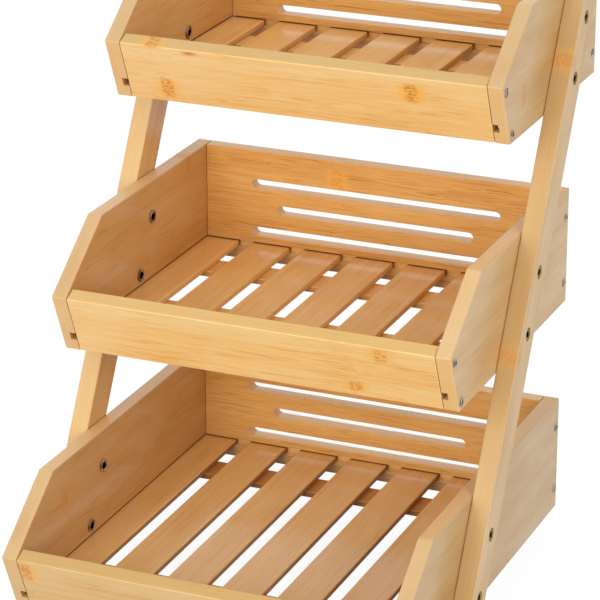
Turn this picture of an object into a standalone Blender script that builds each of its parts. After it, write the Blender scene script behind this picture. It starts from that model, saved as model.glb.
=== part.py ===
"""Tiered fruit basket stand in bamboo.

Three open bins hang between two leaning uprights.  A bin has a left and a right side board, a
front board that leans out between them, a back board with three vent slots, and a slatted floor:
seven slats on two cross rails.  The floor sits in grooves of the side boards and the back board.
Each bin is held by four connector bolts with sleeve nuts, two through each upright.  The lower
ends of the uprights are the front feet, and two blocks under the lowest back board are the rear
feet.

Metres, +Z up.  The front faces -Y.  The origin is on the ground, midway across the width and
midway between the foremost and the rearmost point.
"""

import math
from collections import namedtuple

import bmesh
import bpy
from mathutils import Matrix, Vector

# Boards, their rounded edges, and the clearance that a piece keeps to the next
BOARD = 0.012
EDGE_ROUND = 0.0008
EDGE_STEPS = 2
JOINT_GAP = 0.0003

# A bin seen from its side: heights are above its bottom edge, runs are behind its nose
BIN_WIDTH = 0.320
BIN_HEIGHT = 0.095
NOSE_HEIGHT = 0.049
TOP_FRONT_RUN = 0.063
BOTTOM_FRONT_RUN = 0.021

# The three bins: a setback is from the lowest nose, a rise from the lowest bottom edge
BOTTOM_DEPTH = 0.350
MIDDLE_DEPTH = 0.266
MIDDLE_SETBACK = 0.092
MIDDLE_RISE = 0.176
TOP_DEPTH = 0.222
TOP_SETBACK = 0.1905
TOP_RISE = 0.350

# Slatted floor, its underside above the bin's bottom edge, and the play over it in its grooves
FLOOR_HEIGHT = 0.010
SLAT_COUNT = 7
SLAT_WIDTH = 0.033
SLAT_THICKNESS = 0.005
SLAT_ROUND = 0.001
SLAT_STEPS = 2
GROOVE_DEPTH = 0.005
GROOVE_PLAY = 0.0012

# Cross rails: the front one's inset is behind the front end of the slats, the rear one's is ahead
# of the back board
RAIL_WIDTH = 0.027
RAIL_THICKNESS = 0.005
RAIL_END_GAP = 0.001
RAIL_ROUND = 0.0004
RAIL_STEPS = 1
FRONT_RAIL_INSET = 0.035
MIDDLE_FRONT_RAIL_INSET = 0.0645
REAR_RAIL_INSET = 0.035
TOP_REAR_RAIL_INSET = 0.029

# Vent slots of a back board
SLOT_WIDTH = 0.008
SLOT_PITCH = 0.0205
LOWEST_SLOT_ABOVE_SLATS = 0.0105
LONG_SLOT = 0.215
SHORT_SLOT = 0.170

# Uprights: the setback is from the lowest nose to the front face, level with the lowest bottom edge
UPRIGHT_THICKNESS = 0.015
UPRIGHT_WIDTH = 0.030
UPRIGHT_LEAN = math.radians(28.7)
UPRIGHT_SETBACK = 0.093

# Connector bolts with sleeve nuts
LOWER_BOLT_ABOVE_SLATS = 0.009
BOLT_PITCH = 0.042
BOLT_HEAD_RADIUS = 0.005
BOLT_HEAD_THICKNESS = 0.002
BOLT_HEAD_SUNK = 0.0002
BOLT_SHANK_RADIUS = 0.003
SLEEVE_RADIUS = 0.004
FLANGE_RADIUS = 0.0053
FLANGE_THICKNESS = 0.001
KEY_RADIUS = 0.0023
KEY_DEPTH = 0.0012

# Feet: the lowest bottom edge is this far above the ground
GROUND_CLEARANCE = 0.020
REAR_FOOT_LENGTH = 0.020
REAR_FOOT_INSET = 0.033
FOOT_SCREW_RADIUS = 0.002
FOOT_SCREW_BITE = 0.0075
FOOT_SCREW_SUNK = 0.002
FOOT_HEAD_RADIUS = 0.004
FOOT_HEAD_HEIGHT = 0.0025

# Sides of round and six-sided shapes, how far a cut runs past its board, and how close points merge
ROUND_SIDES = 24
HEX_SIDES = 6
CUT_OVERRUN = 0.001
MERGE_DISTANCE = 0.00001
ROUNDED_CORNER_ANGLE = math.radians(30)
SMOOTH_ANGLE = math.radians(35)
FLAT_ANGLE = math.radians(1)

Tier = namedtuple("Tier", "name depth setback rise front_rail_inset rear_rail_inset")
TIERS = (
    Tier("bottom", BOTTOM_DEPTH, 0.0, 0.0, FRONT_RAIL_INSET, REAR_RAIL_INSET),
    Tier("middle", MIDDLE_DEPTH, MIDDLE_SETBACK, MIDDLE_RISE, MIDDLE_FRONT_RAIL_INSET,
         REAR_RAIL_INSET),
    Tier("top", TOP_DEPTH, TOP_SETBACK, TOP_RISE, FRONT_RAIL_INSET, TOP_REAR_RAIL_INSET),
)
SIDES = {"left": -1, "right": 1}

# Sizes that follow from those above
FRONT_Y = -max(tier.setback + tier.depth for tier in TIERS) / 2
HALF_INNER = BIN_WIDTH / 2 - BOARD
SLAT_TOP = FLOOR_HEIGHT + SLAT_THICKNESS
GROOVE_LOW = FLOOR_HEIGHT - JOINT_GAP
GROOVE_HIGH = SLAT_TOP + GROOVE_PLAY
SLAT_SPAN = 2 * (HALF_INNER + GROOVE_DEPTH - JOINT_GAP)
SLAT_PITCH = (SLAT_SPAN - SLAT_WIDTH) / (SLAT_COUNT - 1)
FRONT_LEAN = math.atan2(BOTTOM_FRONT_RUN, NOSE_HEIGHT)
FRONT_LENGTH = math.hypot(BOTTOM_FRONT_RUN, NOSE_HEIGHT)
UPRIGHT_INNER = BIN_WIDTH / 2 + JOINT_GAP
UPRIGHT_OUTER = UPRIGHT_INNER + UPRIGHT_THICKNESS
UPRIGHT_SLOPE = math.tan(UPRIGHT_LEAN)
UPRIGHT_RUN = UPRIGHT_WIDTH / math.cos(UPRIGHT_LEAN)
FOOT_SCREW_TIP = GROUND_CLEARANCE + FOOT_SCREW_BITE

# Stands an outline drawn in X and Y upright in the YZ plane, with its thickness along X
UPENDED = Matrix(((0, 0, 1), (1, 0, 0), (0, 1, 0))).to_4x4()


def clear_scene():
    for obj in list(bpy.data.objects):
        bpy.data.objects.remove(obj, do_unlink=True)


def make_collection(name):
    collection = bpy.data.collections.new(name)
    bpy.context.scene.collection.children.link(collection)
    return collection


def make_material(name, colour, roughness, metallic=0.0):
    material = bpy.data.materials.new(name)
    material.use_nodes = True
    shader = material.node_tree.nodes["Principled BSDF"]
    shader.inputs["Base Color"].default_value = (*colour, 1)
    shader.inputs["Roughness"].default_value = roughness
    shader.inputs["Metallic"].default_value = metallic
    material.diffuse_color = (*colour, 1)
    return material


class Shop:
    """The collections and materials that the pieces go into."""

    def __init__(self):
        self.parts = make_collection("tiered_fruit_basket_stand")
        self.cutters = make_collection("cutters")
        self.board = make_material("bamboo_board", (0.78, 0.55, 0.30), 0.45)
        self.slat = make_material("bamboo_slat", (0.66, 0.42, 0.22), 0.45)
        self.bronze = make_material("bronze", (0.40, 0.31, 0.15), 0.4, 1.0)
        self.zinc = make_material("zinc", (0.62, 0.63, 0.65), 0.35, 1.0)

    def place(self, name, mesh, matrix, parent, material=None):
        """A part where a material is given, and otherwise a cutter, which isn't part of the model."""
        obj = bpy.data.objects.new(name, mesh)
        obj.parent = parent
        obj.matrix_basis = matrix
        if material:
            mesh.materials.append(material)
            self.parts.objects.link(obj)
        else:
            obj.hide_render = True
            obj.display_type = "WIRE"
            self.cutters.objects.link(obj)
        return obj

    def frame(self, name, location):
        """An empty that the pieces of one bin, or of the whole stand, hang from."""
        empty = bpy.data.objects.new(name, None)
        empty.location = location
        self.parts.objects.link(empty)
        return empty

    def box(self, name, low, high, parent, material=None):
        """A box between two corners, with its origin at its middle."""
        size = Vector(high) - Vector(low)
        middle = Vector(low) + size / 2
        bm = bmesh.new()
        bmesh.ops.create_cube(bm, size=1, matrix=Matrix.Diagonal((*size, 1)))
        mesh = bpy.data.meshes.new(name)
        bm.to_mesh(mesh)
        bm.free()
        return self.place(name, mesh, Matrix.Translation(middle), parent, material)

    def outlined_board(self, name, outline, middle_x, thickness, parent, material):
        """A board with an outline of (y, z) pairs, and its thickness along X."""
        curve = bpy.data.curves.new(name, "CURVE")
        curve.dimensions = "2D"
        curve.fill_mode = "BOTH"
        curve.extrude = thickness / 2
        spline = curve.splines.new("POLY")
        spline.points.add(len(outline) - 1)
        for point, (y, z) in zip(spline.points, outline):
            point.co = (y, z, 0, 1)
        spline.use_cyclic_u = True
        drawn = bpy.data.objects.new(name + "_outline", curve)
        self.cutters.objects.link(drawn)
        bpy.context.view_layer.update()
        evaluated = drawn.evaluated_get(bpy.context.evaluated_depsgraph_get())
        mesh = bpy.data.meshes.new_from_object(evaluated)
        bpy.data.objects.remove(drawn, do_unlink=True)
        bm = bmesh.new()
        bm.from_mesh(mesh)
        bmesh.ops.remove_doubles(bm, verts=bm.verts, dist=MERGE_DISTANCE)
        bmesh.ops.dissolve_limit(bm, angle_limit=FLAT_ANGLE, verts=bm.verts, edges=bm.edges)
        bm.to_mesh(mesh)
        bm.free()
        upended = Matrix.Translation((middle_x, 0, 0)) @ UPENDED
        return self.place(name, mesh, upended, parent, material)

    def turned(self, name, profile, matrix, parent, material=None, sides=ROUND_SIDES):
        """A solid turned about its local Z, its profile given as (radius, height) from the top down."""
        points = [(0, profile[0][1]), *profile, (0, profile[-1][1])]
        bm = bmesh.new()
        verts = [bm.verts.new((radius, 0, height)) for radius, height in points]
        for pair in zip(verts, verts[1:]):
            bm.edges.new(pair)
        mesh = bpy.data.meshes.new(name)
        bm.to_mesh(mesh)
        bm.free()
        obj = self.place(name, mesh, matrix, parent, material)
        screw = obj.modifiers.new("turn", "SCREW")
        screw.steps = sides
        screw.render_steps = sides
        screw.use_merge_vertices = True
        screw.merge_threshold = MERGE_DISTANCE
        return obj


def round_edges(obj, width, steps):
    bevel = obj.modifiers.new("rounded_edges", "BEVEL")
    bevel.width = width
    bevel.segments = steps
    bevel.limit_method = "ANGLE"
    bevel.angle_limit = ROUNDED_CORNER_ANGLE


def cut(obj, tool):
    boolean = obj.modifiers.new(tool.name, "BOOLEAN")
    boolean.operation = "DIFFERENCE"
    boolean.solver = "EXACT"
    boolean.object = tool


def finish_round(obj):
    """Makes a turned piece's modifiers part of its mesh, which is smooth up to its sharp corners."""
    bpy.context.view_layer.update()
    evaluated = obj.evaluated_get(bpy.context.evaluated_depsgraph_get())
    mesh = bpy.data.meshes.new_from_object(evaluated)
    mesh.shade_smooth()
    mesh.set_sharp_from_angle(angle=SMOOTH_ANGLE)
    obj.modifiers.clear()
    obj.data = mesh


def outward(y, z, sign):
    """Stands a turned piece's axis along X, pointing out of the stand on the given side."""
    return Matrix.Translation((0, y, z)) @ Matrix.Rotation(sign * math.pi / 2, 4, "Y")


def bolt_places(tier):
    """The tier's bolts as (name, y, z) in its bin's own frame, on the uprights' middle line."""
    lower = SLAT_TOP + LOWER_BOLT_ABOVE_SLATS
    for name, z in (("lower", lower), ("upper", lower + BOLT_PITCH)):
        front_face = UPRIGHT_SETBACK + (tier.rise + z) * UPRIGHT_SLOPE - tier.setback
        yield name, front_face + UPRIGHT_RUN / 2, z


def make_side(shop, tier, side, bin_frame):
    sign = SIDES[side]
    outline = [
        (0, NOSE_HEIGHT),
        (BOTTOM_FRONT_RUN, 0),
        (tier.depth, 0),
        (tier.depth, BIN_HEIGHT),
        (TOP_FRONT_RUN, BIN_HEIGHT),
    ]
    middle_x = sign * (BIN_WIDTH - BOARD) / 2
    board = shop.outlined_board(f"{tier.name}_{side}_side", outline, middle_x, BOARD, bin_frame,
                                shop.board)
    round_edges(board, EDGE_ROUND, EDGE_STEPS)
    low_x, high_x = sorted((sign * (HALF_INNER - CUT_OVERRUN), sign * (HALF_INNER + GROOVE_DEPTH)))
    cut(board, shop.box(f"{tier.name}_{side}_groove", (low_x, -CUT_OVERRUN, GROOVE_LOW),
                        (high_x, tier.depth + CUT_OVERRUN, GROOVE_HIGH), bin_frame))
    sleeve = SLEEVE_RADIUS + JOINT_GAP
    for name, y, z in bolt_places(tier):
        profile = [(sleeve, BIN_WIDTH / 2 + CUT_OVERRUN), (sleeve, HALF_INNER - CUT_OVERRUN)]
        cut(board, shop.turned(f"{tier.name}_{side}_sleeve_hole_{name}", profile,
                               outward(y, z, sign), bin_frame))


def make_front(shop, tier, bin_frame):
    """A plain board whose outer face lies in line with the side boards' lower front edges."""
    half = HALF_INNER - JOINT_GAP
    board = shop.box(f"{tier.name}_front", (-half, 0, 0), (half, BOARD, FRONT_LENGTH), bin_frame,
                     shop.board)
    leaning = Matrix.Translation((0, BOTTOM_FRONT_RUN, 0)) @ Matrix.Rotation(FRONT_LEAN, 4, "X")
    board.matrix_basis = leaning @ board.matrix_basis
    round_edges(board, EDGE_ROUND, EDGE_STEPS)


def cut_slot(shop, tier, board, name, length, z, bin_frame):
    """A slot with round ends through a back board."""
    turn = Matrix.Rotation(math.pi / 2, 4, "X")
    bm = bmesh.new()
    for end in (-1, 1):
        place = Matrix.Translation((end * (length - SLOT_WIDTH) / 2, 0, 0)) @ turn
        bmesh.ops.create_cone(bm, cap_ends=True, segments=ROUND_SIDES, radius1=SLOT_WIDTH / 2,
                              radius2=SLOT_WIDTH / 2, depth=BOARD + 2 * CUT_OVERRUN, matrix=place)
    bmesh.ops.delete(bm, geom=bm.edges[:], context="EDGES_FACES")
    bmesh.ops.convex_hull(bm, input=bm.verts)
    bmesh.ops.dissolve_limit(bm, angle_limit=FLAT_ANGLE, verts=bm.verts, edges=bm.edges)
    mesh = bpy.data.meshes.new(name)
    bm.to_mesh(mesh)
    bm.free()
    middle = Matrix.Translation((0, tier.depth - BOARD / 2, z))
    cut(board, shop.place(f"{tier.name}_{name}", mesh, middle, bin_frame))


def make_back(shop, tier, bin_frame):
    half = HALF_INNER - JOINT_GAP
    inner_face = tier.depth - BOARD
    board = shop.box(f"{tier.name}_back", (-half, inner_face, 0), (half, tier.depth, BIN_HEIGHT),
                     bin_frame, shop.board)
    lowest = SLAT_TOP + LOWEST_SLOT_ABOVE_SLATS
    for step, (name, length) in enumerate((("low_slot", LONG_SLOT), ("middle_slot", SHORT_SLOT),
                                           ("high_slot", LONG_SLOT))):
        cut_slot(shop, tier, board, name, length, lowest + step * SLOT_PITCH, bin_frame)
    round_edges(board, EDGE_ROUND, EDGE_STEPS)
    cut(board, shop.box(f"{tier.name}_back_groove",
                        (-half - CUT_OVERRUN, inner_face - CUT_OVERRUN, GROOVE_LOW),
                        (half + CUT_OVERRUN, inner_face + GROOVE_DEPTH, GROOVE_HIGH), bin_frame))
    return board


def make_floor(shop, tier, bin_frame):
    """Slats from the front board to the back board's groove, on a front and a rear cross rail."""
    above_front_board = FLOOR_HEIGHT - BOARD * math.sin(FRONT_LEAN)
    front_board_face = BOTTOM_FRONT_RUN + BOARD * math.cos(FRONT_LEAN)
    start = front_board_face - above_front_board * math.tan(FRONT_LEAN) + JOINT_GAP
    back_face = tier.depth - BOARD
    end = back_face + GROOVE_DEPTH - JOINT_GAP
    for number in range(SLAT_COUNT):
        left = number * SLAT_PITCH - SLAT_SPAN / 2
        slat = shop.box(f"{tier.name}_slat_{number + 1}", (left, start, FLOOR_HEIGHT),
                        (left + SLAT_WIDTH, end, SLAT_TOP), bin_frame, shop.slat)
        round_edges(slat, SLAT_ROUND, SLAT_STEPS)
    half = HALF_INNER - RAIL_END_GAP
    top = FLOOR_HEIGHT - JOINT_GAP
    front_edges = {
        "front": start + tier.front_rail_inset,
        "rear": back_face - tier.rear_rail_inset - RAIL_WIDTH,
    }
    for name, near in front_edges.items():
        rail = shop.box(f"{tier.name}_{name}_rail", (-half, near, top - RAIL_THICKNESS),
                        (half, near + RAIL_WIDTH, top), bin_frame, shop.slat)
        round_edges(rail, RAIL_ROUND, RAIL_STEPS)


def make_bolts(shop, tier, side, bin_frame):
    """Each bolt with the sleeve nut on its end: its head sunk in the upright, the flange in the bin."""
    flange_face = HALF_INNER - JOINT_GAP
    flange_end = flange_face - FLANGE_THICKNESS
    sleeve_end = BIN_WIDTH / 2 - JOINT_GAP
    head_end = UPRIGHT_OUTER - BOLT_HEAD_SUNK
    head_face = head_end - BOLT_HEAD_THICKNESS
    profile = [
        (BOLT_HEAD_RADIUS, head_end), (BOLT_HEAD_RADIUS, head_face),
        (BOLT_SHANK_RADIUS, head_face), (BOLT_SHANK_RADIUS, sleeve_end),
        (SLEEVE_RADIUS, sleeve_end), (SLEEVE_RADIUS, flange_face),
        (FLANGE_RADIUS, flange_face), (FLANGE_RADIUS, flange_end),
    ]
    keys = {
        "head": (head_end + CUT_OVERRUN, head_end - KEY_DEPTH),
        "nut": (flange_end + KEY_DEPTH, flange_end - CUT_OVERRUN),
    }
    for name, y, z in bolt_places(tier):
        axis = outward(y, z, SIDES[side])
        stem = f"{tier.name}_{side}_bolt_{name}"
        bolt = shop.turned(stem, profile, axis, bin_frame, shop.bronze)
        for end, (high, low) in keys.items():
            key = [(KEY_RADIUS, high), (KEY_RADIUS, low)]
            cut(bolt, shop.turned(f"{stem}_{end}_key", key, axis, bin_frame, sides=HEX_SIDES))
        finish_round(bolt)


def make_upright(shop, side, stand_frame):
    """A batten with level ends, from the ground to the top edge of the top bin."""
    sign = SIDES[side]
    top = GROUND_CLEARANCE + TOP_RISE + BIN_HEIGHT
    foot_y = FRONT_Y + UPRIGHT_SETBACK - GROUND_CLEARANCE * UPRIGHT_SLOPE
    top_y = foot_y + top * UPRIGHT_SLOPE
    outline = [(foot_y, 0), (foot_y + UPRIGHT_RUN, 0), (top_y + UPRIGHT_RUN, top), (top_y, top)]
    batten = shop.outlined_board(f"{side}_upright", outline, sign * (UPRIGHT_INNER + UPRIGHT_OUTER) / 2,
                                 UPRIGHT_THICKNESS, stand_frame, shop.board)
    round_edges(batten, EDGE_ROUND, EDGE_STEPS)
    shank = BOLT_SHANK_RADIUS + JOINT_GAP
    head = BOLT_HEAD_RADIUS + JOINT_GAP
    shoulder = UPRIGHT_OUTER - BOLT_HEAD_SUNK - BOLT_HEAD_THICKNESS - JOINT_GAP
    profile = [(head, UPRIGHT_OUTER + CUT_OVERRUN), (head, shoulder), (shank, shoulder),
               (shank, UPRIGHT_INNER - CUT_OVERRUN)]
    for tier in TIERS:
        for name, y, z in bolt_places(tier):
            axis = outward(FRONT_Y + tier.setback + y, GROUND_CLEARANCE + tier.rise + z, sign)
            cut(batten, shop.turned(f"{side}_upright_{tier.name}_hole_{name}", profile, axis,
                                    stand_frame))


def make_rear_foot(shop, side, back_board, bin_frame):
    """A block under the lowest back board, held by a countersunk screw from below."""
    sign = SIDES[side]
    outer = HALF_INNER - REAR_FOOT_INSET
    inner = outer - REAR_FOOT_LENGTH
    low_x, high_x = sorted((sign * outer, sign * inner))
    foot = shop.box(f"{side}_rear_foot", (low_x, BOTTOM_DEPTH - BOARD, -GROUND_CLEARANCE),
                    (high_x, BOTTOM_DEPTH, -JOINT_GAP), bin_frame, shop.board)
    round_edges(foot, EDGE_ROUND, EDGE_STEPS)
    head_top = FOOT_SCREW_SUNK + FOOT_HEAD_HEIGHT
    shank_hole = FOOT_SCREW_RADIUS + JOINT_GAP
    head_hole = FOOT_HEAD_RADIUS + JOINT_GAP
    screw_profile = [(FOOT_SCREW_RADIUS, FOOT_SCREW_TIP), (FOOT_SCREW_RADIUS, head_top),
                     (FOOT_HEAD_RADIUS, FOOT_SCREW_SUNK)]
    hole_profile = [(shank_hole, FOOT_SCREW_TIP + JOINT_GAP), (shank_hole, head_top + JOINT_GAP),
                    (head_hole, FOOT_SCREW_SUNK + JOINT_GAP), (head_hole, -CUT_OVERRUN)]
    axis = Matrix.Translation((sign * (inner + outer) / 2, BOTTOM_DEPTH - BOARD / 2, -GROUND_CLEARANCE))
    screw = shop.turned(f"{side}_foot_screw", screw_profile, axis, bin_frame, shop.zinc)
    finish_round(screw)
    hole = shop.turned(f"{side}_foot_hole", hole_profile, axis, bin_frame)
    cut(foot, hole)
    cut(back_board, hole)


def main():
    clear_scene()
    shop = Shop()
    stand_frame = shop.frame("stand", (0, 0, 0))
    for tier in TIERS:
        place = (0, FRONT_Y + tier.setback, GROUND_CLEARANCE + tier.rise)
        bin_frame = shop.frame(f"{tier.name}_bin", place)
        for side in SIDES:
            make_side(shop, tier, side, bin_frame)
            make_bolts(shop, tier, side, bin_frame)
        make_front(shop, tier, bin_frame)
        back_board = make_back(shop, tier, bin_frame)
        make_floor(shop, tier, bin_frame)
        if tier is TIERS[0]:
            for side in SIDES:
                make_rear_foot(shop, side, back_board, bin_frame)
    for side in SIDES:
        make_upright(shop, side, stand_frame)


main()
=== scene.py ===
"""Looks of the tiered fruit basket stand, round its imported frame.

Boards, slats and battens are laminated bamboo under satin lacquer.  Each bin hangs on four
connector bolts in antique bronze with nickel sleeve nuts, and its front and back boards are held
by bright raised-head screws.  Metres, +Z up, the front faces -Y.
"""

import math
import random
from collections import namedtuple

import bmesh
import bpy
from mathutils import Matrix, Vector


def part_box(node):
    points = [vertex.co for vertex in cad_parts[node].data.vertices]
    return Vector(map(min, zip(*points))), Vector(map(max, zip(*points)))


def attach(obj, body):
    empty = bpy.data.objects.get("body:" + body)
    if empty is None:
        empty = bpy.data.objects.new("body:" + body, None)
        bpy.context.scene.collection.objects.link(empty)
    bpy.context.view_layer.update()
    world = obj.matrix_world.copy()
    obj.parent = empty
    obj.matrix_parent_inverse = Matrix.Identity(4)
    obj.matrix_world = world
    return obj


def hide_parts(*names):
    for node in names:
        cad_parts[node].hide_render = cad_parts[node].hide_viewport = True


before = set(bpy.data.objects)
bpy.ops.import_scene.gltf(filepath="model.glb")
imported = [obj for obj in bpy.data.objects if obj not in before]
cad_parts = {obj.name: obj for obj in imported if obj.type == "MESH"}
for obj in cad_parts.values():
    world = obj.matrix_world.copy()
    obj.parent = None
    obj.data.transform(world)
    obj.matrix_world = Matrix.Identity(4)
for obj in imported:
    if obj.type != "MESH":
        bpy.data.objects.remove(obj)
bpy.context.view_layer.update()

TIERS = ("bottom", "middle", "top")
SIDES = {"left": -1, "right": 1}
BOLTS = ("lower", "upper")

# How the leaning pieces lean. A front board runs forward by FRONT_RUN from a bin's bottom up to its
# nose, and an upright leans back
NOSE_HEIGHT = 0.049
FRONT_RUN = 0.021
FRONT_UP = Vector((0, -FRONT_RUN, NOSE_HEIGHT)) / math.hypot(NOSE_HEIGHT, FRONT_RUN)
UPRIGHT_LEAN = math.radians(28.7)
UPRIGHT_UP = Vector((0, math.sin(UPRIGHT_LEAN), math.cos(UPRIGHT_LEAN)))
UPRIGHT_ACROSS = Vector((0, math.cos(UPRIGHT_LEAN), -math.sin(UPRIGHT_LEAN)))
X, Y, Z = (Vector(axis) for axis in ((1, 0, 0), (0, 1, 0), (0, 0, 1)))

# Laminated bamboo: strips side by side in layers, with seams between them. Waves bend the fibres,
# clouds and bands tint the wood, lines are its streaks, and a zone has more or fewer of them. Each
# pattern is so long along the fibres and so wide across them
STRIP_WIDTH = 0.0205
LAYER = 0.004
SEAM = 0.00025
WAVE = (0.045, 0.010)
WAVE_HEIGHT = 0.0010
CLOUD = (0.075, 0.024)
ZONE = (0.070, 0.011)
BAND = (0.160, 0.0042)
LINE = (0.045, 0.0009)
FIBRE = (0.016, 0.00045)
BUNDLE = (0.040, 0.0010)
FLECK = (0.004, 0.0006)
LINE_DETAIL = 2.0
PLAIN_DETAIL = 1.0

# Noise runs mostly from -1 to 1: where a pattern starts to show, and where it shows in full. For a
# bundle, these are distances from its middle
LINE_SHOWS = (-0.2, 0.9)
ZONE_SHOWS = (-0.7, 0.7)
FLECK_SHOWS = (0.9, 1.3)
CLOUD_SHOWS = (0.0, 1.0)
BUNDLE_SHOWS = (0.42, 0.12)

# A board's colour goes from 0, pale, to 1, its streaks: how deep it is before any pattern, where it
# is honey, what strips and fibres add, what is left of the lines in a quiet zone, how much deeper
# they are on an inner face, and how much of its own brown a bundle, fleck or seam has
START_DEPTH = 0.27
HONEY_DEPTH = 0.42
STRIP_DEPTH = 0.07
FIBRE_DEPTH = 0.07
QUIET_ZONE = 0.40
INNER_LINES = 0.60
BUNDLE_SHARE = 0.50
FLECK_SHARE = 0.45
SEAM_SHARE = 0.30

# How squarely a face looks along the fibres to be an end, up to be a slope or a top, and inwards to
# be an inner face, from where that starts to count to where it counts in full. The less a face
# looks through the board, the more it is an edge
END_FACE = (0.3, 0.8)
EDGE_FACE = (0.8, 0.5)
SLOPE_FACE = (0.1, 0.4)
TOP_FACE = (0.94, 0.99)
INNER_FACE = (0.5, 0.9)

# How much of its grain an end loses, and how much of its own colour an edge has
END_CALM = 0.8
EDGE_SHARE = 0.75

# A slat is painted with shade where it lies in a groove, from so far inside the groove's mouth
GROOVE_MOUTH = 0.0002

# The palest strip of a front board begins so far above its middle, and is so much less deep
PALE_STRIP_START = (0.0105, 0.0125)
PALE_STRIP_DEPTH = 0.20

# A bamboo node: a ragged band of brown flecks across one strip, in a patch of warmer wood
NODE_HALF_LENGTH = 0.0065
NODE_CORE = 0.0030
NODE_HALO = 0.014
NODE_HALO_CORE = 0.004
NODE_FLECK = (0.0030, 0.0017)
NODE_CLOUD = (0.007, 0.003)
NODE_SWIRL = 0.0014
NODE_EDGE = 0.004
NODE_FLECK_SHOWS = (-0.6, 0.5)
NODE_CLOUD_SHOWS = (-1.5, 0.2)
NODE_SHARE = 0.85
HALO_SHARE = 0.80

# Relief of the lacquered wood: its full height, how strongly it shows, and how much of it each
# pattern takes
RELIEF = 0.00015
RELIEF_STRENGTH = 0.35
FIBRE_RELIEF = 0.3
LINE_RELIEF = 0.3
BUNDLE_RELIEF = 0.4
NODE_RELIEF = 0.6

# Lacquer: how rough and how uneven it is, how much rougher a sawn edge is, and how rough the clear
# coat over it is
LACQUER_ROUGHNESS = 0.42
LACQUER_UNEVEN = 0.04
SAWN_ROUGHNESS = 0.25
COAT_ROUGHNESS = 0.14

# Connector bolts and their sleeve nuts. The key is the hex socket, measured to its corners, and a
# rim is a small bevel
BOLT_HEAD_RADIUS = 0.005
BOLT_HEAD_THICKNESS = 0.002
BOLT_SHANK_RADIUS = 0.003
BOLT_LENGTH = 0.024
SLEEVE_RADIUS = 0.004
SLEEVE_LENGTH = 0.012
FLANGE_RADIUS = 0.0053
FLANGE_THICKNESS = 0.001
KEY_RADIUS = 0.0029
NUT_KEY_RADIUS = 0.0034
KEY_DEPTH = 0.0040
KEY_MOUTH = 0.0003
SLEEVE_WALL = 0.0008
THREAD_PLAY = 0.0001
HEX_SIDES = 6
RIM = 0.0004
FLANGE_RIM = 0.0008

# Raised-head screws in the ends of the front and back boards: a low head over a countersunk cone
RAISED_RADIUS = 0.0037
RAISED_HEIGHT = 0.0008
RAISED_RIM = 0.00015
RAISED_FLAT_RADIUS = 0.0021
RAISED_CONE = 0.0024
RAISED_SHANK_RADIUS = 0.00175
RAISED_LENGTH = 0.025
RAISED_LIFT = 0.00005
RAISED_CROSS_DEPTH = 0.0006
FRONT_SCREWS_BELOW_NOSE = (0.009, 0.0485)
BACK_SCREWS_ABOVE_BOTTOM = (0.0175, 0.072)
SCREW_INSET = 0.006

# Countersunk screws in the rear feet
COUNTERSUNK_RADIUS = 0.004
COUNTERSUNK_HEIGHT = 0.0025
COUNTERSUNK_EDGE = 0.0003
FOOT_SHANK_RADIUS = 0.002

# Cross recess of a screw
CROSS_WIDTH = 0.0008
CROSS_REACH = 0.0017
CROSS_TAPER = 0.00018
FOOT_CROSS_DEPTH = 0.0012

# A cross recess is painted with shade from this share of its depth down
SHADE_START = 0.25

# Plated metal: where the wear in its noise starts and ends, how uneven its polish is, and its fine
# scratches, per metre along each axis
WEAR_SHOWS = (0.42, 0.62)
WEAR_DETAIL = 4.0
POLISH_UNEVEN = 0.25
SCRATCHES = (6000, 900, 2500)
SCRATCH_UNEVEN = 0.10
SCRATCH_STRENGTH = 0.15
SCRATCH_HEIGHT = 0.00002

# Points round a turned piece, points on its round shoulder, how close points merge, and the
# sharpest corner that is still shaded smooth
ROUND_STEPS = 48
SHOULDER_STEPS = 6
WELD = 0.00001
SMOOTH_ANGLE = math.radians(32)
QUARTER_TURN = math.radians(90)

# Camera: the photograph's place, turn and lens
CAMERA_PLACE = (0.8326, -1.97418, 1.0511)
CAMERA_TURN = (math.radians(68.941), 0, math.radians(22.996))
CAMERA_LENS = 179.32

# Studio: how bright the world is as light and where it is seen, the floor, and the two lamps
AMBIENT = 0.62
BACKDROP = 1.0
FLOOR_HALF = 4.0
FLOOR_DROP = 0.0003
FLOOR_GLOW = 0.94
FLOOR_SHADOW = 0.10
FLOOR_BOUNCE = 0.25
LAMP_SIDE = 1.8
LAMP_AIM = Vector((0, 0, 0.25))
KEY_LAMP_PLACE = Vector((-0.2, -3.05, 1.05))
KEY_LAMP_POWER = 79.0
FILL_LAMP_PLACE = Vector((2.6, -1.9, 1.2))
FILL_LAMP_POWER = 37.0

# How far apart the patterns of two pieces may lie, where in a strip the middle of a board may lie,
# and what brings noise to -1 to 1
PATTERN_REACH = 50
MIDDLE_IN_STRIP = (0.4, 0.6)
NOISE_MIDDLE = 0.5
NOISE_GAIN = 3.5

# The colour sockets of a Mix node
MIX_A, MIX_B, MIX_RESULT = 6, 7, 2

# A screen's channels: their full value, and the curve from a value to the light it makes
SCREEN_FULL = 255
SCREEN_TOE = 0.055
SCREEN_CURVE = 2.4


def tint(red, green, blue):
    """A colour from 0 to 255 in each channel, as a screen shows it, for a colour socket."""
    shares = (value / SCREEN_FULL for value in (red, green, blue))
    return (*(((share + SCREEN_TOE) / (1 + SCREEN_TOE)) ** SCREEN_CURVE for share in shares), 1)


def grey(share):
    return (share, share, share, 1)


SEAM_BROWN = tint(150, 98, 48)
FLECK_BROWN = tint(176, 112, 54)
NODE_BROWN = tint(190, 112, 26)
NODE_GLOW = tint(232, 166, 66)
# Painted shade on a slat where it lies in a groove
GROOVE_SHADE_BROWN = tint(164, 96, 44)
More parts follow.
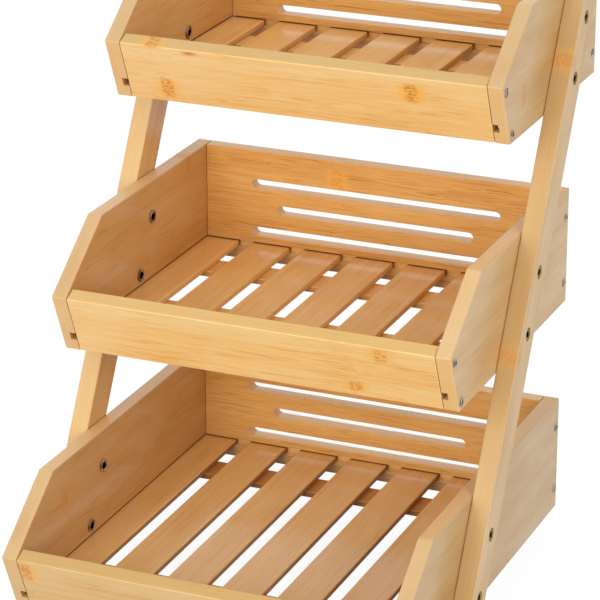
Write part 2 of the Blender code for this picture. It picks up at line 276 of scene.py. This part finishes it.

# Plated metals: their colours where worn bright and where dull, how rough they are, and how large
# the clouds in the plating are. Socket shade is painted shade: the dark of a deep socket or recess
Plating = namedtuple("Plating", "bright dull roughness cloud")
BRONZE = Plating(tint(158, 132, 48), tint(106, 86, 26), roughness=0.40, cloud=0.003)
NICKEL = Plating(tint(190, 184, 168), tint(120, 112, 92), roughness=0.30, cloud=0.004)
ZINC = Plating(tint(186, 180, 162), tint(120, 114, 96), roughness=0.30, cloud=0.004)
SOCKET_SHADE = Plating(tint(34, 27, 18), tint(34, 27, 18), roughness=0.60, cloud=0.002)

# A piece's colours: the wood from pale to streaks, its fibre bundles, and its upright, sloping and
# level edges, with painted light on the level ones. Then how strong its streaks, bands and clouds
# are, how much painted bounce light, a warm brown, is on it inside a bin or between the uprights,
# how strong its clear coat is, and how matt its edges are
Tone = namedtuple("Tone", "pale honey streak bundle edge slope top line band cloud warm coat sawn")
FRONT_TONE = Tone(
    pale=tint(252, 216, 152), honey=tint(247, 200, 125), streak=tint(226, 154, 72),
    bundle=tint(208, 144, 66),
    edge=tint(189, 149, 82), slope=tint(189, 149, 82), top=tint(189, 149, 82),
    line=0.66, band=0.13, cloud=0.14, warm=0, coat=0.28, sawn=0)
SIDE_TONE = Tone(
    pale=tint(246, 211, 153), honey=tint(236, 192, 129), streak=tint(212, 158, 88),
    bundle=tint(204, 148, 78),
    edge=tint(204, 162, 105), slope=tint(182, 148, 104), top=tint(230, 184, 124),
    line=0.24, band=0.12, cloud=0.36, warm=0.45, coat=0.28, sawn=0)
BACK_TONE = Tone(
    pale=tint(229, 184, 112), honey=tint(220, 164, 88), streak=tint(186, 118, 48),
    bundle=tint(168, 96, 36),
    edge=tint(222, 168, 98), slope=tint(222, 168, 98), top=tint(248, 214, 160),
    line=0.84, band=0.12, cloud=0.12, warm=0, coat=0.28, sawn=0)
SLAT_TONE = Tone(
    pale=tint(250, 206, 140), honey=tint(240, 187, 112), streak=tint(216, 150, 76),
    bundle=tint(208, 142, 68),
    edge=tint(238, 182, 104), slope=tint(238, 182, 104), top=tint(238, 182, 104),
    line=0.34, band=0.12, cloud=0.18, warm=0, coat=0.60, sawn=1)
BATTEN_TONE = Tone(
    pale=tint(234, 198, 140), honey=tint(222, 180, 118), streak=tint(204, 154, 88),
    bundle=tint(200, 148, 80),
    edge=tint(202, 164, 110), slope=tint(202, 164, 110), top=tint(202, 164, 110),
    line=0.18, band=0.20, cloud=0.26, warm=0.28, coat=0.28, sawn=0)
DARK_BATTEN_TONE = BATTEN_TONE._replace(edge=tint(180, 143, 92), slope=tint(180, 143, 92))
# Painted bounce light: the warm brown of light bounced between the boards, painted on inner faces
PAINTED_BOUNCE_BROWN = tint(182, 116, 22)

# How much lighter or darker a piece is painted, where it isn't 1: partly its own tone, and partly
# painted light and shade, the bottom bin darker in painted shade, and the middle bin's right side
# and the top bin's slats lighter in painted light. The slats of a bin share one entry
PIECE_TONE_AND_LIGHT = {"bottom_front": 0.88, "middle_front": 1.06, "bottom_left_side": 0.97,
          "bottom_right_side": 0.96, "middle_right_side": 1.08, "bottom_slat": 0.90,
          "top_slat": 1.03}
SLAT_NUMBERS = "_1234567"

# The slats' upright edges are painted lighter or darker from bin to bin, as light and shade fall in
# the gaps: darkest in the bottom bin, lightest in the middle one. The bottom bin's rails are
# painted darker and redder, the shade under its slats, and the others are like the top bin's slats
SLAT_TONES = {"bottom": SLAT_TONE._replace(edge=tint(160, 98, 50)), "middle": SLAT_TONE,
              "top": SLAT_TONE._replace(edge=tint(206, 150, 84))}
SHADED_RAIL_TONE = SLAT_TONE._replace(
    pale=tint(194, 136, 72), honey=tint(186, 123, 58), streak=tint(168, 100, 39),
    bundle=tint(162, 94, 35), edge=tint(145, 89, 45))
RAIL_TONES = {"bottom": SHADED_RAIL_TONE, "middle": SLAT_TONES["top"], "top": SLAT_TONES["top"]}

# A mark on a board, from its middle: along the fibres, across the face, its strength, and how wide
# it is across the fibres
Mark = namedtuple("Mark", "along across strength width", defaults=(STRIP_WIDTH,))
MARKS = {
    "top_front": (Mark(0.0873, 0.0114, 1.0), Mark(-0.1146, -0.0128, 1.0),
                  Mark(-0.1210, 0.0338, 1.0)),
    "middle_front": (Mark(0.1045, 0.0170, 0.7, 0.0135), Mark(0.0806, -0.0168, 0.8, 0.0135)),
    "bottom_front": (Mark(-0.1425, 0.0150, 0.95),),
    "middle_back": (Mark(-0.0321, 0.0311, 0.5),),
    "middle_left_side": (Mark(0.0857, 0.0430, 0.6),),
    "bottom_left_side": (Mark(-0.0939, 0.0163, 0.4),),
    "top_right_side": (Mark(-0.0618, -0.0172, 0.5),),
    "right_upright": (Mark(0.1940, -0.0150, 0.5), Mark(-0.0349, -0.0150, 0.4)),
}

# A dash is one brown streak on a board, placed like a mark, with so much on each side of its place
DASHES = {"top_front": Mark(-0.0900, 0.0236, 1.0)}
DASH_HALF_LENGTH = 0.0100
DASH_HALF_WIDTH = 0.0030

# What the grain of a board is made of
Patterns = namedtuple("Patterns", "strip seam cloud line fibre band bundle fleck")


class Signal:
    """A socket's number. Python's operators on it add Math nodes."""

    def __init__(self, tree, socket):
        self.tree = tree
        self.socket = socket

    def __add__(self, other):
        return self.tree.math("ADD", self, other)

    def __sub__(self, other):
        return self.tree.math("SUBTRACT", self, other)

    def __rsub__(self, other):
        return self.tree.math("SUBTRACT", other, self)

    def __mul__(self, other):
        return self.tree.math("MULTIPLY", self, other)

    def __truediv__(self, other):
        return self.tree.math("DIVIDE", self, other)

    def __mod__(self, other):
        return self.tree.math("FLOORED_MODULO", self, other)

    def __abs__(self):
        return self.tree.math("ABSOLUTE", self)

    def __floor__(self):
        return self.tree.math("FLOOR", self)

    __radd__ = __add__
    __rmul__ = __mul__

    def ramp(self, start, end):
        """0 at start, 1 at end, and smooth between them."""
        return self.tree.node("MapRange", {"interpolation_type": "SMOOTHSTEP"},
                              {"Value": self, "From Min": start, "From Max": end})

    def output(self, name):
        """Another output of the node that this number comes from."""
        return Signal(self.tree, self.socket.node.outputs[name])


class Tree:
    """The node tree of a material or a world."""

    def __init__(self, owner):
        owner.use_nodes = True
        self.nodes = owner.node_tree.nodes
        self.links = owner.node_tree.links
        self.nodes.clear()

    def node(self, kind, settings=None, sockets=None, out=0):
        """Adds a node, makes its settings, sets or links its sockets, and returns one output."""
        node = self.nodes.new("ShaderNode" + kind)
        for name, value in (settings or {}).items():
            if name == "stops":
                elements = node.color_ramp.elements
                while len(elements) < len(value):
                    elements.new(1)
                for element, (position, colour) in zip(elements, value):
                    element.position = position
                    element.color = colour
            else:
                setattr(node, name, value)
        for name, value in (sockets or {}).items():
            if isinstance(value, Signal):
                self.links.new(value.socket, node.inputs[name])
            else:
                node.inputs[name].default_value = value
        return Signal(self, node.outputs[out]) if node.outputs else None

    def math(self, operation, *terms):
        return self.node("Math", {"operation": operation}, dict(enumerate(terms)))

    def mix(self, share, first, second):
        """From the first colour to the second as share goes from 0 to 1."""
        return self.node("Mix", {"data_type": "RGBA"}, {0: share, MIX_A: first, MIX_B: second},
                         MIX_RESULT)

    def seen(self):
        """1 for what is seen straight, mirrored or through glass, and 0 for plain light."""
        rays = self.node("LightPath", out="Is Camera Ray")
        shine = self.math("MAXIMUM", rays.output("Is Glossy Ray"),
                          rays.output("Is Transmission Ray"))
        return self.math("MAXIMUM", rays, shine)


class Grain:
    """A board's own coordinates: u along its fibres, v across its face and w through it."""

    def __init__(self, tree, name, centre, along, across):
        turn = Matrix((along, across, along.cross(across)))
        self.tree = tree
        self.draw = random.Random(name)
        place = tree.node("Mapping", {}, {
            "Vector": tree.node("TexCoord", out="Object"),
            "Location": -(turn @ centre),
            "Rotation": turn.to_euler(),
        })
        split = tree.node("SeparateXYZ", {}, {"Vector": place})
        self.u, self.v, self.w = split, split.output("Y"), split.output("Z")
        self.vector = place
        bend = self.noise(WAVE) * WAVE_HEIGHT
        for mark in MARKS.get(name, ()):
            near = abs(self.u - mark.along).ramp(NODE_HALO, 0)
            bend = bend + near * self.noise((NODE_HALO, NODE_HALO)) * NODE_SWIRL
        shift = tree.node("CombineXYZ", {}, {"Y": bend, "Z": bend})
        self.vector = tree.node("VectorMath", {"operation": "ADD"}, {0: place, 1: shift})

    def stretched(self, size):
        """Coordinates in which a pattern of unit size is so long and so wide, at its own place."""
        length, width = size
        scale = (1 / length, 1 / width, 1 / width)
        return self.tree.node("Mapping", {}, {
            "Vector": self.vector,
            "Location": [self.draw.uniform(0, PATTERN_REACH) for _ in scale],
            "Scale": scale,
        })

    def noise(self, size, detail=PLAIN_DETAIL):
        """Noise round 0, mostly between -1 and 1, stretched along the fibres."""
        noise = self.tree.node("TexNoise", {}, {
            "Vector": self.stretched(size), "Scale": 1, "Detail": detail,
        })
        return (noise - NOISE_MIDDLE) * NOISE_GAIN

    def bundles(self, size):
        """Thin lines where the fibre bundles reach the surface, each with its own strength."""
        cells = self.tree.node("TexVoronoi", {}, {"Vector": self.stretched(size), "Scale": 1},
                               "Distance")
        strength = self.tree.node("SeparateColor", {}, {"Color": cells.output("Color")})
        return cells.ramp(*BUNDLE_SHOWS) * strength

    def strips(self):
        """(a number from -1 to 1 that is the same all over a strip, the seams between strips)."""
        column = self.v / STRIP_WIDTH + self.draw.uniform(*MIDDLE_IN_STRIP)
        layer = self.w / LAYER + 1 / 2
        cell = self.tree.node("CombineXYZ", {}, {
            "X": math.floor(column),
            "Y": math.floor(layer),
            "Z": self.draw.uniform(0, PATTERN_REACH),
        })
        tone = self.tree.node("TexWhiteNoise", {}, {"Vector": cell}, "Value") * 2 - 1
        near = [(abs(part % 1 - 1 / 2) * size).ramp(size / 2 - SEAM, size / 2)
                for part, size in ((column, STRIP_WIDTH), (layer, LAYER))]
        return tone, self.tree.math("MAXIMUM", *near)

    def mark(self, mark):
        """(flecks, halo) of a node in the bamboo, across one strip or part of it."""
        along = abs(self.u - mark.along)
        across = abs(self.v - mark.across).ramp(mark.width / 2, mark.width / 2 - NODE_EDGE)
        ragged = self.noise(NODE_FLECK, LINE_DETAIL).ramp(*NODE_FLECK_SHOWS)
        flecks = along.ramp(NODE_HALF_LENGTH, NODE_CORE) * ragged
        cloud = self.noise(NODE_CLOUD).ramp(*NODE_CLOUD_SHOWS)
        halo = along.ramp(NODE_HALO, NODE_HALO_CORE) * cloud
        return flecks * across * mark.strength, halo * across * mark.strength

    def dash(self, mark):
        """A lone streak with pointed ends."""
        along = abs(self.u - mark.along).ramp(DASH_HALF_LENGTH, 0)
        return abs(self.v - mark.across).ramp(DASH_HALF_WIDTH, 0) * along * mark.strength


def facing(tree, direction):
    """1 where a surface faces a direction, 0 where it runs along it, and -1 where it faces away."""
    normal = tree.node("NewGeometry", out="Normal")
    return tree.node("VectorMath", {"operation": "DOT_PRODUCT"}, {0: normal, 1: direction},
                     "Value")


def groove_shade_mask(tree, tier):
    """1 on the ends and edges of a tier's slats that lie in its boards' grooves, where painted
    shade goes.
    """
    place = tree.node("SeparateXYZ", {}, {"Vector": tree.node("TexCoord", out="Object")})
    side = abs(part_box(f"{tier}_left_side")[1].x)
    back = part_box(f"{tier}_back")[0].y
    return tree.math("MAXIMUM", abs(place).ramp(side, side + GROOVE_MOUTH),
                     place.output("Y").ramp(back, back + GROOVE_MOUTH))


def patterns_of(grain, along):
    """All patterns of a board's grain, calmer on its ends."""
    strip, seam = grain.strips()
    cloud = grain.noise(CLOUD)
    zone = QUIET_ZONE + grain.noise(ZONE).ramp(*ZONE_SHOWS) * (1 - QUIET_ZONE)
    calm = 1 - abs(facing(grain.tree, along)).ramp(*END_FACE) * END_CALM
    line = grain.noise(LINE, LINE_DETAIL).ramp(*LINE_SHOWS) * zone * calm
    fibre = grain.noise(FIBRE) * calm
    band = grain.noise(BAND) * calm
    bundle = grain.bundles(BUNDLE) * calm
    fleck = grain.noise(FLECK).ramp(*FLECK_SHOWS) * cloud.ramp(*CLOUD_SHOWS) * calm
    return Patterns(strip, seam, cloud, line, fibre, band, bundle, fleck)


def wood_colour(tree, patterns, depth, tone):
    """The wood's colour at a depth, with fibre bundles, flecks and seams over it."""
    colour = tree.node("ValToRGB", {
        "stops": [(0, tone.pale), (HONEY_DEPTH, tone.honey), (1, tone.streak)],
    }, {"Fac": depth})
    colour = tree.mix(patterns.bundle * BUNDLE_SHARE * tone.line, colour, tone.bundle)
    colour = tree.mix(patterns.fleck * FLECK_SHARE, colour, FLECK_BROWN)
    return tree.mix(patterns.seam * SEAM_SHARE, colour, SEAM_BROWN)


def edge_colour(tree, tone):
    """The colour of upright edges, of sloping ones, which are darker, and of level ones, lighter
    with painted light from above.
    """
    upward = facing(tree, Z)
    colour = tree.mix(upward.ramp(*SLOPE_FACE), tone.edge, tone.slope)
    return tree.mix(upward.ramp(*TOP_FACE), colour, tone.top)


def with_marks(name, grain, colour, sunk):
    """(colour, sunk) of a board with its nodes and dashes added."""
    tree = grain.tree
    for mark in MARKS.get(name, ()):
        flecks, halo = grain.mark(mark)
        colour = tree.mix(halo * HALO_SHARE, colour, NODE_GLOW)
        colour = tree.mix(flecks * NODE_SHARE, colour, NODE_BROWN)
        sunk = sunk + flecks * NODE_RELIEF
    if name in DASHES:
        colour = tree.mix(grain.dash(DASHES[name]), colour, NODE_BROWN)
    return colour, sunk


def bamboo(name, centre, along, across, tone, inward):
    """Laminated bamboo with its fibres along one direction and its strips side by side across it.

    A side board or an upright has an inward direction, and the face that looks there is painted
    warmer, painted bounce light from the wood around it.
    """
    material = bpy.data.materials.new(name + "_bamboo")
    tree = Tree(material)
    grain = Grain(tree, name, centre, along, across)
    wood = patterns_of(grain, along)
    depth = (START_DEPTH + wood.line * tone.line + wood.band * tone.band + wood.cloud * tone.cloud
             + wood.strip * STRIP_DEPTH + wood.fibre * FIBRE_DEPTH)
    if inward:
        inside = facing(tree, inward).ramp(*INNER_FACE)
        depth = depth + wood.line * inside * INNER_LINES
    if name.endswith("_front"):
        depth = depth - grain.v.ramp(*PALE_STRIP_START) * PALE_STRIP_DEPTH
    colour = wood_colour(tree, wood, depth, tone)
    edge = abs(facing(tree, along.cross(across))).ramp(*EDGE_FACE)
    colour = tree.mix(edge * EDGE_SHARE, colour, edge_colour(tree, tone))
    # Painted shade on the part of a slat that lies in a groove
    if "_slat_" in name:
        colour = tree.mix(groove_shade_mask(tree, name.split("_")[0]), colour, GROOVE_SHADE_BROWN)
    colour, sunk = with_marks(name, grain, colour, wood.seam + wood.bundle * BUNDLE_RELIEF)
    # Painted bounce light on the inner faces
    if inward:
        colour = tree.mix(inside * tone.warm, colour, PAINTED_BOUNCE_BROWN)
    height = wood.fibre * FIBRE_RELIEF - wood.line * LINE_RELIEF - sunk
    uneven = (wood.line + wood.cloud) * LACQUER_UNEVEN
    surface = tree.node("BsdfPrincipled", {}, {
        "Base Color": colour,
        "Roughness": LACQUER_ROUGHNESS + uneven + edge * tone.sawn * SAWN_ROUGHNESS,
        "Normal": tree.node("Bump", {}, {
            "Strength": RELIEF_STRENGTH, "Distance": RELIEF, "Height": height,
        }),
        "Coat Weight": (1 - edge * tone.sawn) * tone.coat,
        "Coat Roughness": COAT_ROUGHNESS,
    })
    tree.node("OutputMaterial", {}, {"Surface": surface})
    return material


def metal(name, plating):
    """Plated metal, a little uneven in colour and polish."""
    material = bpy.data.materials.new(name)
    tree = Tree(material)
    place = tree.node("TexCoord", out="Object")
    cloud = tree.node("TexNoise", {}, {
        "Vector": place, "Scale": 1 / plating.cloud, "Detail": WEAR_DETAIL,
    })
    scratch = tree.node("TexNoise", {}, {
        "Vector": tree.node("Mapping", {}, {"Vector": place, "Scale": SCRATCHES}),
        "Scale": 1,
    })
    polish = (cloud - NOISE_MIDDLE) * POLISH_UNEVEN + (scratch - NOISE_MIDDLE) * SCRATCH_UNEVEN
    surface = tree.node("BsdfPrincipled", {}, {
        "Base Color": tree.mix(cloud.ramp(*WEAR_SHOWS), plating.dull, plating.bright),
        "Metallic": 1,
        "Roughness": plating.roughness + polish,
        "Normal": tree.node("Bump", {}, {
            "Strength": SCRATCH_STRENGTH, "Distance": SCRATCH_HEIGHT, "Height": scratch,
        }),
    })
    tree.node("OutputMaterial", {}, {"Surface": surface})
    return material


def middle(node):
    low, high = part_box(node)
    return (low + high) / 2


def shaded(tone, shade):
    """The tone with all its colours that much lighter or darker."""
    parts = [(*(min(channel * shade, 1) for channel in part[:-1]), 1) if isinstance(part, tuple)
             else part for part in tone]
    return Tone(*parts)


def dress(node, along, across, tone, inward=None):
    """Gives a CAD node its own bamboo."""
    # A piece's own tone together with its painted light and shade
    shade = PIECE_TONE_AND_LIGHT.get(node.rstrip(SLAT_NUMBERS), 1)
    material = bamboo(node, middle(node), along, across, shaded(tone, shade), inward)
    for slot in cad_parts[node].material_slots:
        slot.material = material


def dress_bamboo():
    for tier in TIERS:
        dress(f"{tier}_front", X, FRONT_UP, FRONT_TONE)
        dress(f"{tier}_back", X, Z, BACK_TONE)
        for rail in ("front", "rear"):
            dress(f"{tier}_{rail}_rail", X, Y, RAIL_TONES[tier])
    for side, sign in SIDES.items():
        batten = DARK_BATTEN_TONE if side == "right" else BATTEN_TONE
        dress(f"{side}_upright", UPRIGHT_UP, UPRIGHT_ACROSS, batten, -X * sign)
        dress(f"{side}_rear_foot", X, Y, BATTEN_TONE)
        for tier in TIERS:
            dress(f"{tier}_{side}_side", Y, Z, SIDE_TONE, -X * sign)
    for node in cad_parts:
        if "_slat_" in node:
            dress(node, Y, X, SLAT_TONES[node.split("_")[0]])


def turned(profile):
    """A solid spun round Z from (radius, height) pairs that start and end on the axis."""
    bm = bmesh.new()
    verts = [bm.verts.new((radius, 0, height)) for radius, height in profile]
    edges = [bm.edges.new(pair) for pair in zip(verts, verts[1:])]
    bmesh.ops.spin(bm, geom=verts + edges, cent=(0, 0, 0), axis=Z, angle=math.tau,
                   steps=ROUND_STEPS, use_merge=True)
    bmesh.ops.remove_doubles(bm, verts=bm.verts, dist=WELD)
    bmesh.ops.recalc_face_normals(bm, faces=bm.faces)
    return bm


def make_six_sided(bm, radius, above):
    """Turns the round hole of that radius into a hex socket, its corners where the circle was."""
    sixth = math.tau / HEX_SIDES
    for vert in bm.verts:
        reach = math.hypot(vert.co.x, vert.co.y)
        if abs(reach - radius) < WELD and vert.co.z > above:
            turn = math.atan2(vert.co.y, vert.co.x) % sixth - sixth / 2
            flat = math.cos(sixth / 2) / math.cos(turn)
            vert.co.x *= flat
            vert.co.y *= flat


def level_faces(bm, height):
    return [face for face in bm.faces if all(abs(vert.co.z - height) < WELD for vert in face.verts)]


def sink_cross(bm, height, depth):
    """Sinks a cross recess with drawn-in walls into the flat top at that height."""
    bmesh.ops.dissolve_faces(bm, faces=level_faces(bm, height))
    for axis in (X, Y):
        for place in (-CROSS_REACH, -CROSS_WIDTH / 2, CROSS_WIDTH / 2, CROSS_REACH):
            faces = level_faces(bm, height)
            edges = {edge for face in faces for edge in face.edges}
            verts = {vert for face in faces for vert in face.verts}
            bmesh.ops.bisect_plane(bm, geom=[*faces, *edges, *verts], dist=WELD,
                                   plane_co=axis * place, plane_no=axis)
    cross = []
    for face in level_faces(bm, height):
        x, y, _ = face.calc_center_median()
        near, far = sorted((abs(x), abs(y)))
        if near < CROSS_WIDTH / 2 and far < CROSS_REACH:
            cross.append(face)
    bmesh.ops.inset_region(bm, faces=cross, thickness=CROSS_TAPER, depth=-depth,
                           use_even_offset=True)


def darken(bm, radius, below):
    """Gives the faces of a socket or recess the second material, painted shade for the dark of a
    deep hole.
    """
    for face in bm.faces:
        centre = face.calc_center_median()
        if math.hypot(centre.x, centre.y) < radius and centre.z < below:
            face.material_index = 1


def finish_metal(bm, name, place, outward, material, socket_shade):
    """Turns a solid's Z outward, sets it in its place and makes it a piece of the stand."""
    turn = outward.to_track_quat("Z", "Y").to_matrix().to_4x4()
    bmesh.ops.transform(bm, matrix=Matrix.Translation(place) @ turn, verts=bm.verts)
    mesh = bpy.data.meshes.new(name)
    bm.to_mesh(mesh)
    bm.free()
    mesh.shade_smooth()
    mesh.set_sharp_from_angle(angle=SMOOTH_ANGLE)
    mesh.materials.append(material)
    mesh.materials.append(socket_shade)
    piece = bpy.data.objects.new(name, mesh)
    bpy.context.scene.collection.objects.link(piece)
    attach(piece, "root")
    return piece


def key_profile(radius):
    """The middle of a socket head, from the floor of its hex socket to the round mouth."""
    return [(0, -KEY_DEPTH), (radius, -KEY_DEPTH), (radius, -KEY_MOUTH), (radius + KEY_MOUTH, 0)]


def connector_bolt(name, place, outward, bronze, socket_shade):
    """Flat round head with a hex socket, on a shank that reaches into the sleeve nut."""
    bm = turned([
        *key_profile(KEY_RADIUS),
        (BOLT_HEAD_RADIUS - RIM, 0),
        (BOLT_HEAD_RADIUS, -RIM),
        (BOLT_HEAD_RADIUS, -BOLT_HEAD_THICKNESS),
        (BOLT_SHANK_RADIUS, -BOLT_HEAD_THICKNESS),
        (BOLT_SHANK_RADIUS, RIM - BOLT_LENGTH),
        (BOLT_SHANK_RADIUS - RIM, -BOLT_LENGTH),
        (0, -BOLT_LENGTH),
    ])
    make_six_sided(bm, KEY_RADIUS, -KEY_DEPTH - RIM)
    darken(bm, KEY_RADIUS, -KEY_MOUTH)
    return finish_metal(bm, name, place, outward, bronze, socket_shade)


def sleeve_nut(name, place, outward, nickel, socket_shade):
    """Thin flange with a hex socket, on a sleeve that is open for the bolt's thread."""
    end = SLEEVE_LENGTH + FLANGE_THICKNESS
    floor = KEY_DEPTH + SLEEVE_WALL
    bore = BOLT_SHANK_RADIUS + THREAD_PLAY
    bm = turned([
        *key_profile(NUT_KEY_RADIUS),
        (FLANGE_RADIUS - FLANGE_RIM, 0),
        (FLANGE_RADIUS, -RIM),
        (FLANGE_RADIUS, -FLANGE_THICKNESS),
        (SLEEVE_RADIUS, -FLANGE_THICKNESS),
        (SLEEVE_RADIUS, -end),
        (bore, -end),
        (bore, -floor),
        (0, -floor),
    ])
    make_six_sided(bm, NUT_KEY_RADIUS, -floor + RIM)
    darken(bm, NUT_KEY_RADIUS, -KEY_MOUTH)
    return finish_metal(bm, name, place, outward, nickel, socket_shade)


def raised_screw(name, place, outward, zinc, socket_shade):
    """Low round-shouldered head with a cross recess, over a countersunk cone and pointed shank."""
    width, rise = RAISED_RADIUS - RAISED_FLAT_RADIUS, RAISED_HEIGHT - RAISED_RIM
    turns = [QUARTER_TURN * step / SHOULDER_STEPS for step in range(SHOULDER_STEPS + 1)]
    shoulder = [(RAISED_FLAT_RADIUS + width * math.sin(turn), RAISED_RIM + rise * math.cos(turn))
                for turn in turns]
    bm = turned([
        (0, RAISED_HEIGHT),
        *shoulder,
        (RAISED_RADIUS, 0),
        (RAISED_SHANK_RADIUS, -RAISED_CONE),
        (RAISED_SHANK_RADIUS, 2 * RAISED_SHANK_RADIUS - RAISED_LENGTH),
        (0, -RAISED_LENGTH),
    ])
    sink_cross(bm, RAISED_HEIGHT, RAISED_CROSS_DEPTH)
    darken(bm, CROSS_REACH, RAISED_HEIGHT - RAISED_CROSS_DEPTH * SHADE_START)
    return finish_metal(bm, name, place + outward * RAISED_LIFT, outward, zinc, socket_shade)


def countersunk_screw(name, place, outward, length, zinc, socket_shade):
    """Flat head with a cross recess and a cone below it, as long as the CAD screw."""
    bm = turned([
        (0, 0),
        (COUNTERSUNK_RADIUS - COUNTERSUNK_EDGE / 2, 0),
        (COUNTERSUNK_RADIUS, -COUNTERSUNK_EDGE / 2),
        (COUNTERSUNK_RADIUS, -COUNTERSUNK_EDGE),
        (FOOT_SHANK_RADIUS, -COUNTERSUNK_HEIGHT),
        (FOOT_SHANK_RADIUS, 2 * FOOT_SHANK_RADIUS - length),
        (0, -length),
    ])
    sink_cross(bm, 0, FOOT_CROSS_DEPTH)
    return finish_metal(bm, name, place, outward, zinc, socket_shade)


def make_bolt_and_nut(tier, side, which, bronze, nickel, socket_shade):
    """A connector bolt in an upright and its sleeve nut in a bin, which stand for one CAD node."""
    node = f"{tier}_{side}_bolt_{which}"
    outward = X * SIDES[side]
    low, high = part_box(node)
    centre = middle(node)
    inner, outer = sorted((low.x, high.x), key=abs)
    nut = sleeve_nut(f"{tier}_{side}_sleeve_nut_{which}", Vector((inner, centre.y, centre.z)),
                     -outward, nickel, socket_shade)
    bolt = connector_bolt(f"{tier}_{side}_connector_bolt_{which}",
                          Vector((outer, centre.y, centre.z)), outward, bronze, socket_shade)
    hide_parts(node)
    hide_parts(node)


def make_side_screws(tier, side, zinc, socket_shade):
    """The four screws through a side board: two into the front board's end, two into the back's."""
    outward = X * SIDES[side]
    low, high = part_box(f"{tier}_{side}_side")
    face = high.x if side == "right" else low.x
    nose = Vector((face, low.y, low.z + NOSE_HEIGHT))
    ahead = outward.cross(FRONT_UP) * SIDES[side]
    for number, below in enumerate(FRONT_SCREWS_BELOW_NOSE, 1):
        raised_screw(f"{tier}_{side}_front_screw_{number}",
                     nose - FRONT_UP * below - ahead * SCREW_INSET, outward, zinc, socket_shade)
    for number, above in enumerate(BACK_SCREWS_ABOVE_BOTTOM, 1):
        raised_screw(f"{tier}_{side}_back_screw_{number}",
                     Vector((face, high.y - SCREW_INSET, low.z + above)), outward, zinc, socket_shade)


def make_foot_screw(side, zinc, socket_shade):
    node = f"{side}_foot_screw"
    low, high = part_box(node)
    centre = middle(node)
    screw = countersunk_screw(f"{side}_countersunk_screw", Vector((centre.x, centre.y, low.z)), -Z,
                              high.z - low.z, zinc, socket_shade)
    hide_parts(node)


def make_fasteners():
    bronze = metal("antique_bronze", BRONZE)
    nickel = metal("nickel_plate", NICKEL)
    zinc = metal("zinc_plate", ZINC)
    # Painted shade for the insides of sockets and recesses
    socket_shade = metal("painted_shade_of_a_socket", SOCKET_SHADE)
    for side in SIDES:
        for tier in TIERS:
            for which in BOLTS:
                make_bolt_and_nut(tier, side, which, bronze, nickel, socket_shade)
            make_side_screws(tier, side, zinc, socket_shade)
        make_foot_screw(side, zinc, socket_shade)


def make_camera():
    data = bpy.data.cameras.new("camera")
    data.lens = CAMERA_LENS
    camera = bpy.data.objects.new("camera", data)
    camera.location = CAMERA_PLACE
    camera.rotation_euler = CAMERA_TURN
    bpy.context.scene.collection.objects.link(camera)
    bpy.context.scene.camera = camera


def make_world():
    """White where it is seen or mirrored, and softer as light."""
    world = bpy.data.worlds.new("studio")
    bpy.context.scene.world = world
    tree = Tree(world)
    strength = AMBIENT + tree.seen() * (BACKDROP - AMBIENT)
    light = tree.node("Background", {}, {"Color": grey(1), "Strength": strength})
    tree.node("OutputWorld", {}, {"Surface": light})


def make_lamp(name, place, power):
    """A wide soft lamp that looks at the middle of the stand, with no glare on its lacquer."""
    data = bpy.data.lights.new(name, "AREA")
    data.shape = "SQUARE"
    data.size = LAMP_SIDE
    data.energy = power
    lamp = bpy.data.objects.new(name, data)
    lamp.location = place
    lamp.rotation_euler = (LAMP_AIM - place).to_track_quat("-Z", "Y").to_euler()
    lamp.visible_camera = False
    lamp.visible_glossy = False
    bpy.context.scene.collection.objects.link(lamp)


def make_floor():
    """White floor that keeps a faint shadow, and can be looked through from below."""
    bm = bmesh.new()
    bmesh.ops.create_grid(bm, x_segments=1, y_segments=1, size=FLOOR_HALF,
                          matrix=Matrix.Translation((0, 0, -FLOOR_DROP)))
    mesh = bpy.data.meshes.new("floor")
    bm.to_mesh(mesh)
    bm.free()
    material = bpy.data.materials.new("studio_floor")
    tree = Tree(material)
    glow = tree.node("Emission", {}, {"Color": grey(1), "Strength": FLOOR_GLOW})
    shadow = tree.node("BsdfDiffuse", {}, {"Color": grey(FLOOR_SHADOW)})
    shown = tree.node("AddShader", {}, {0: glow, 1: shadow})
    bounce = tree.node("BsdfDiffuse", {}, {"Color": grey(FLOOR_BOUNCE)})
    above = tree.node("MixShader", {}, {0: tree.seen(), 1: bounce, 2: shown})
    clear = tree.node("BsdfTransparent")
    below = tree.node("NewGeometry", out="Backfacing")
    surface = tree.node("MixShader", {}, {0: below, 1: above, 2: clear})
    tree.node("OutputMaterial", {}, {"Surface": surface})
    mesh.materials.append(material)
    floor = bpy.data.objects.new("floor", mesh)
    bpy.context.scene.collection.objects.link(floor)


bpy.context.scene.view_settings.view_transform = "Standard"
make_camera()
make_world()
make_lamp("key_lamp", KEY_LAMP_PLACE, KEY_LAMP_POWER)
make_lamp("fill_lamp", FILL_LAMP_PLACE, FILL_LAMP_POWER)
make_floor()
dress_bamboo()
make_fasteners()
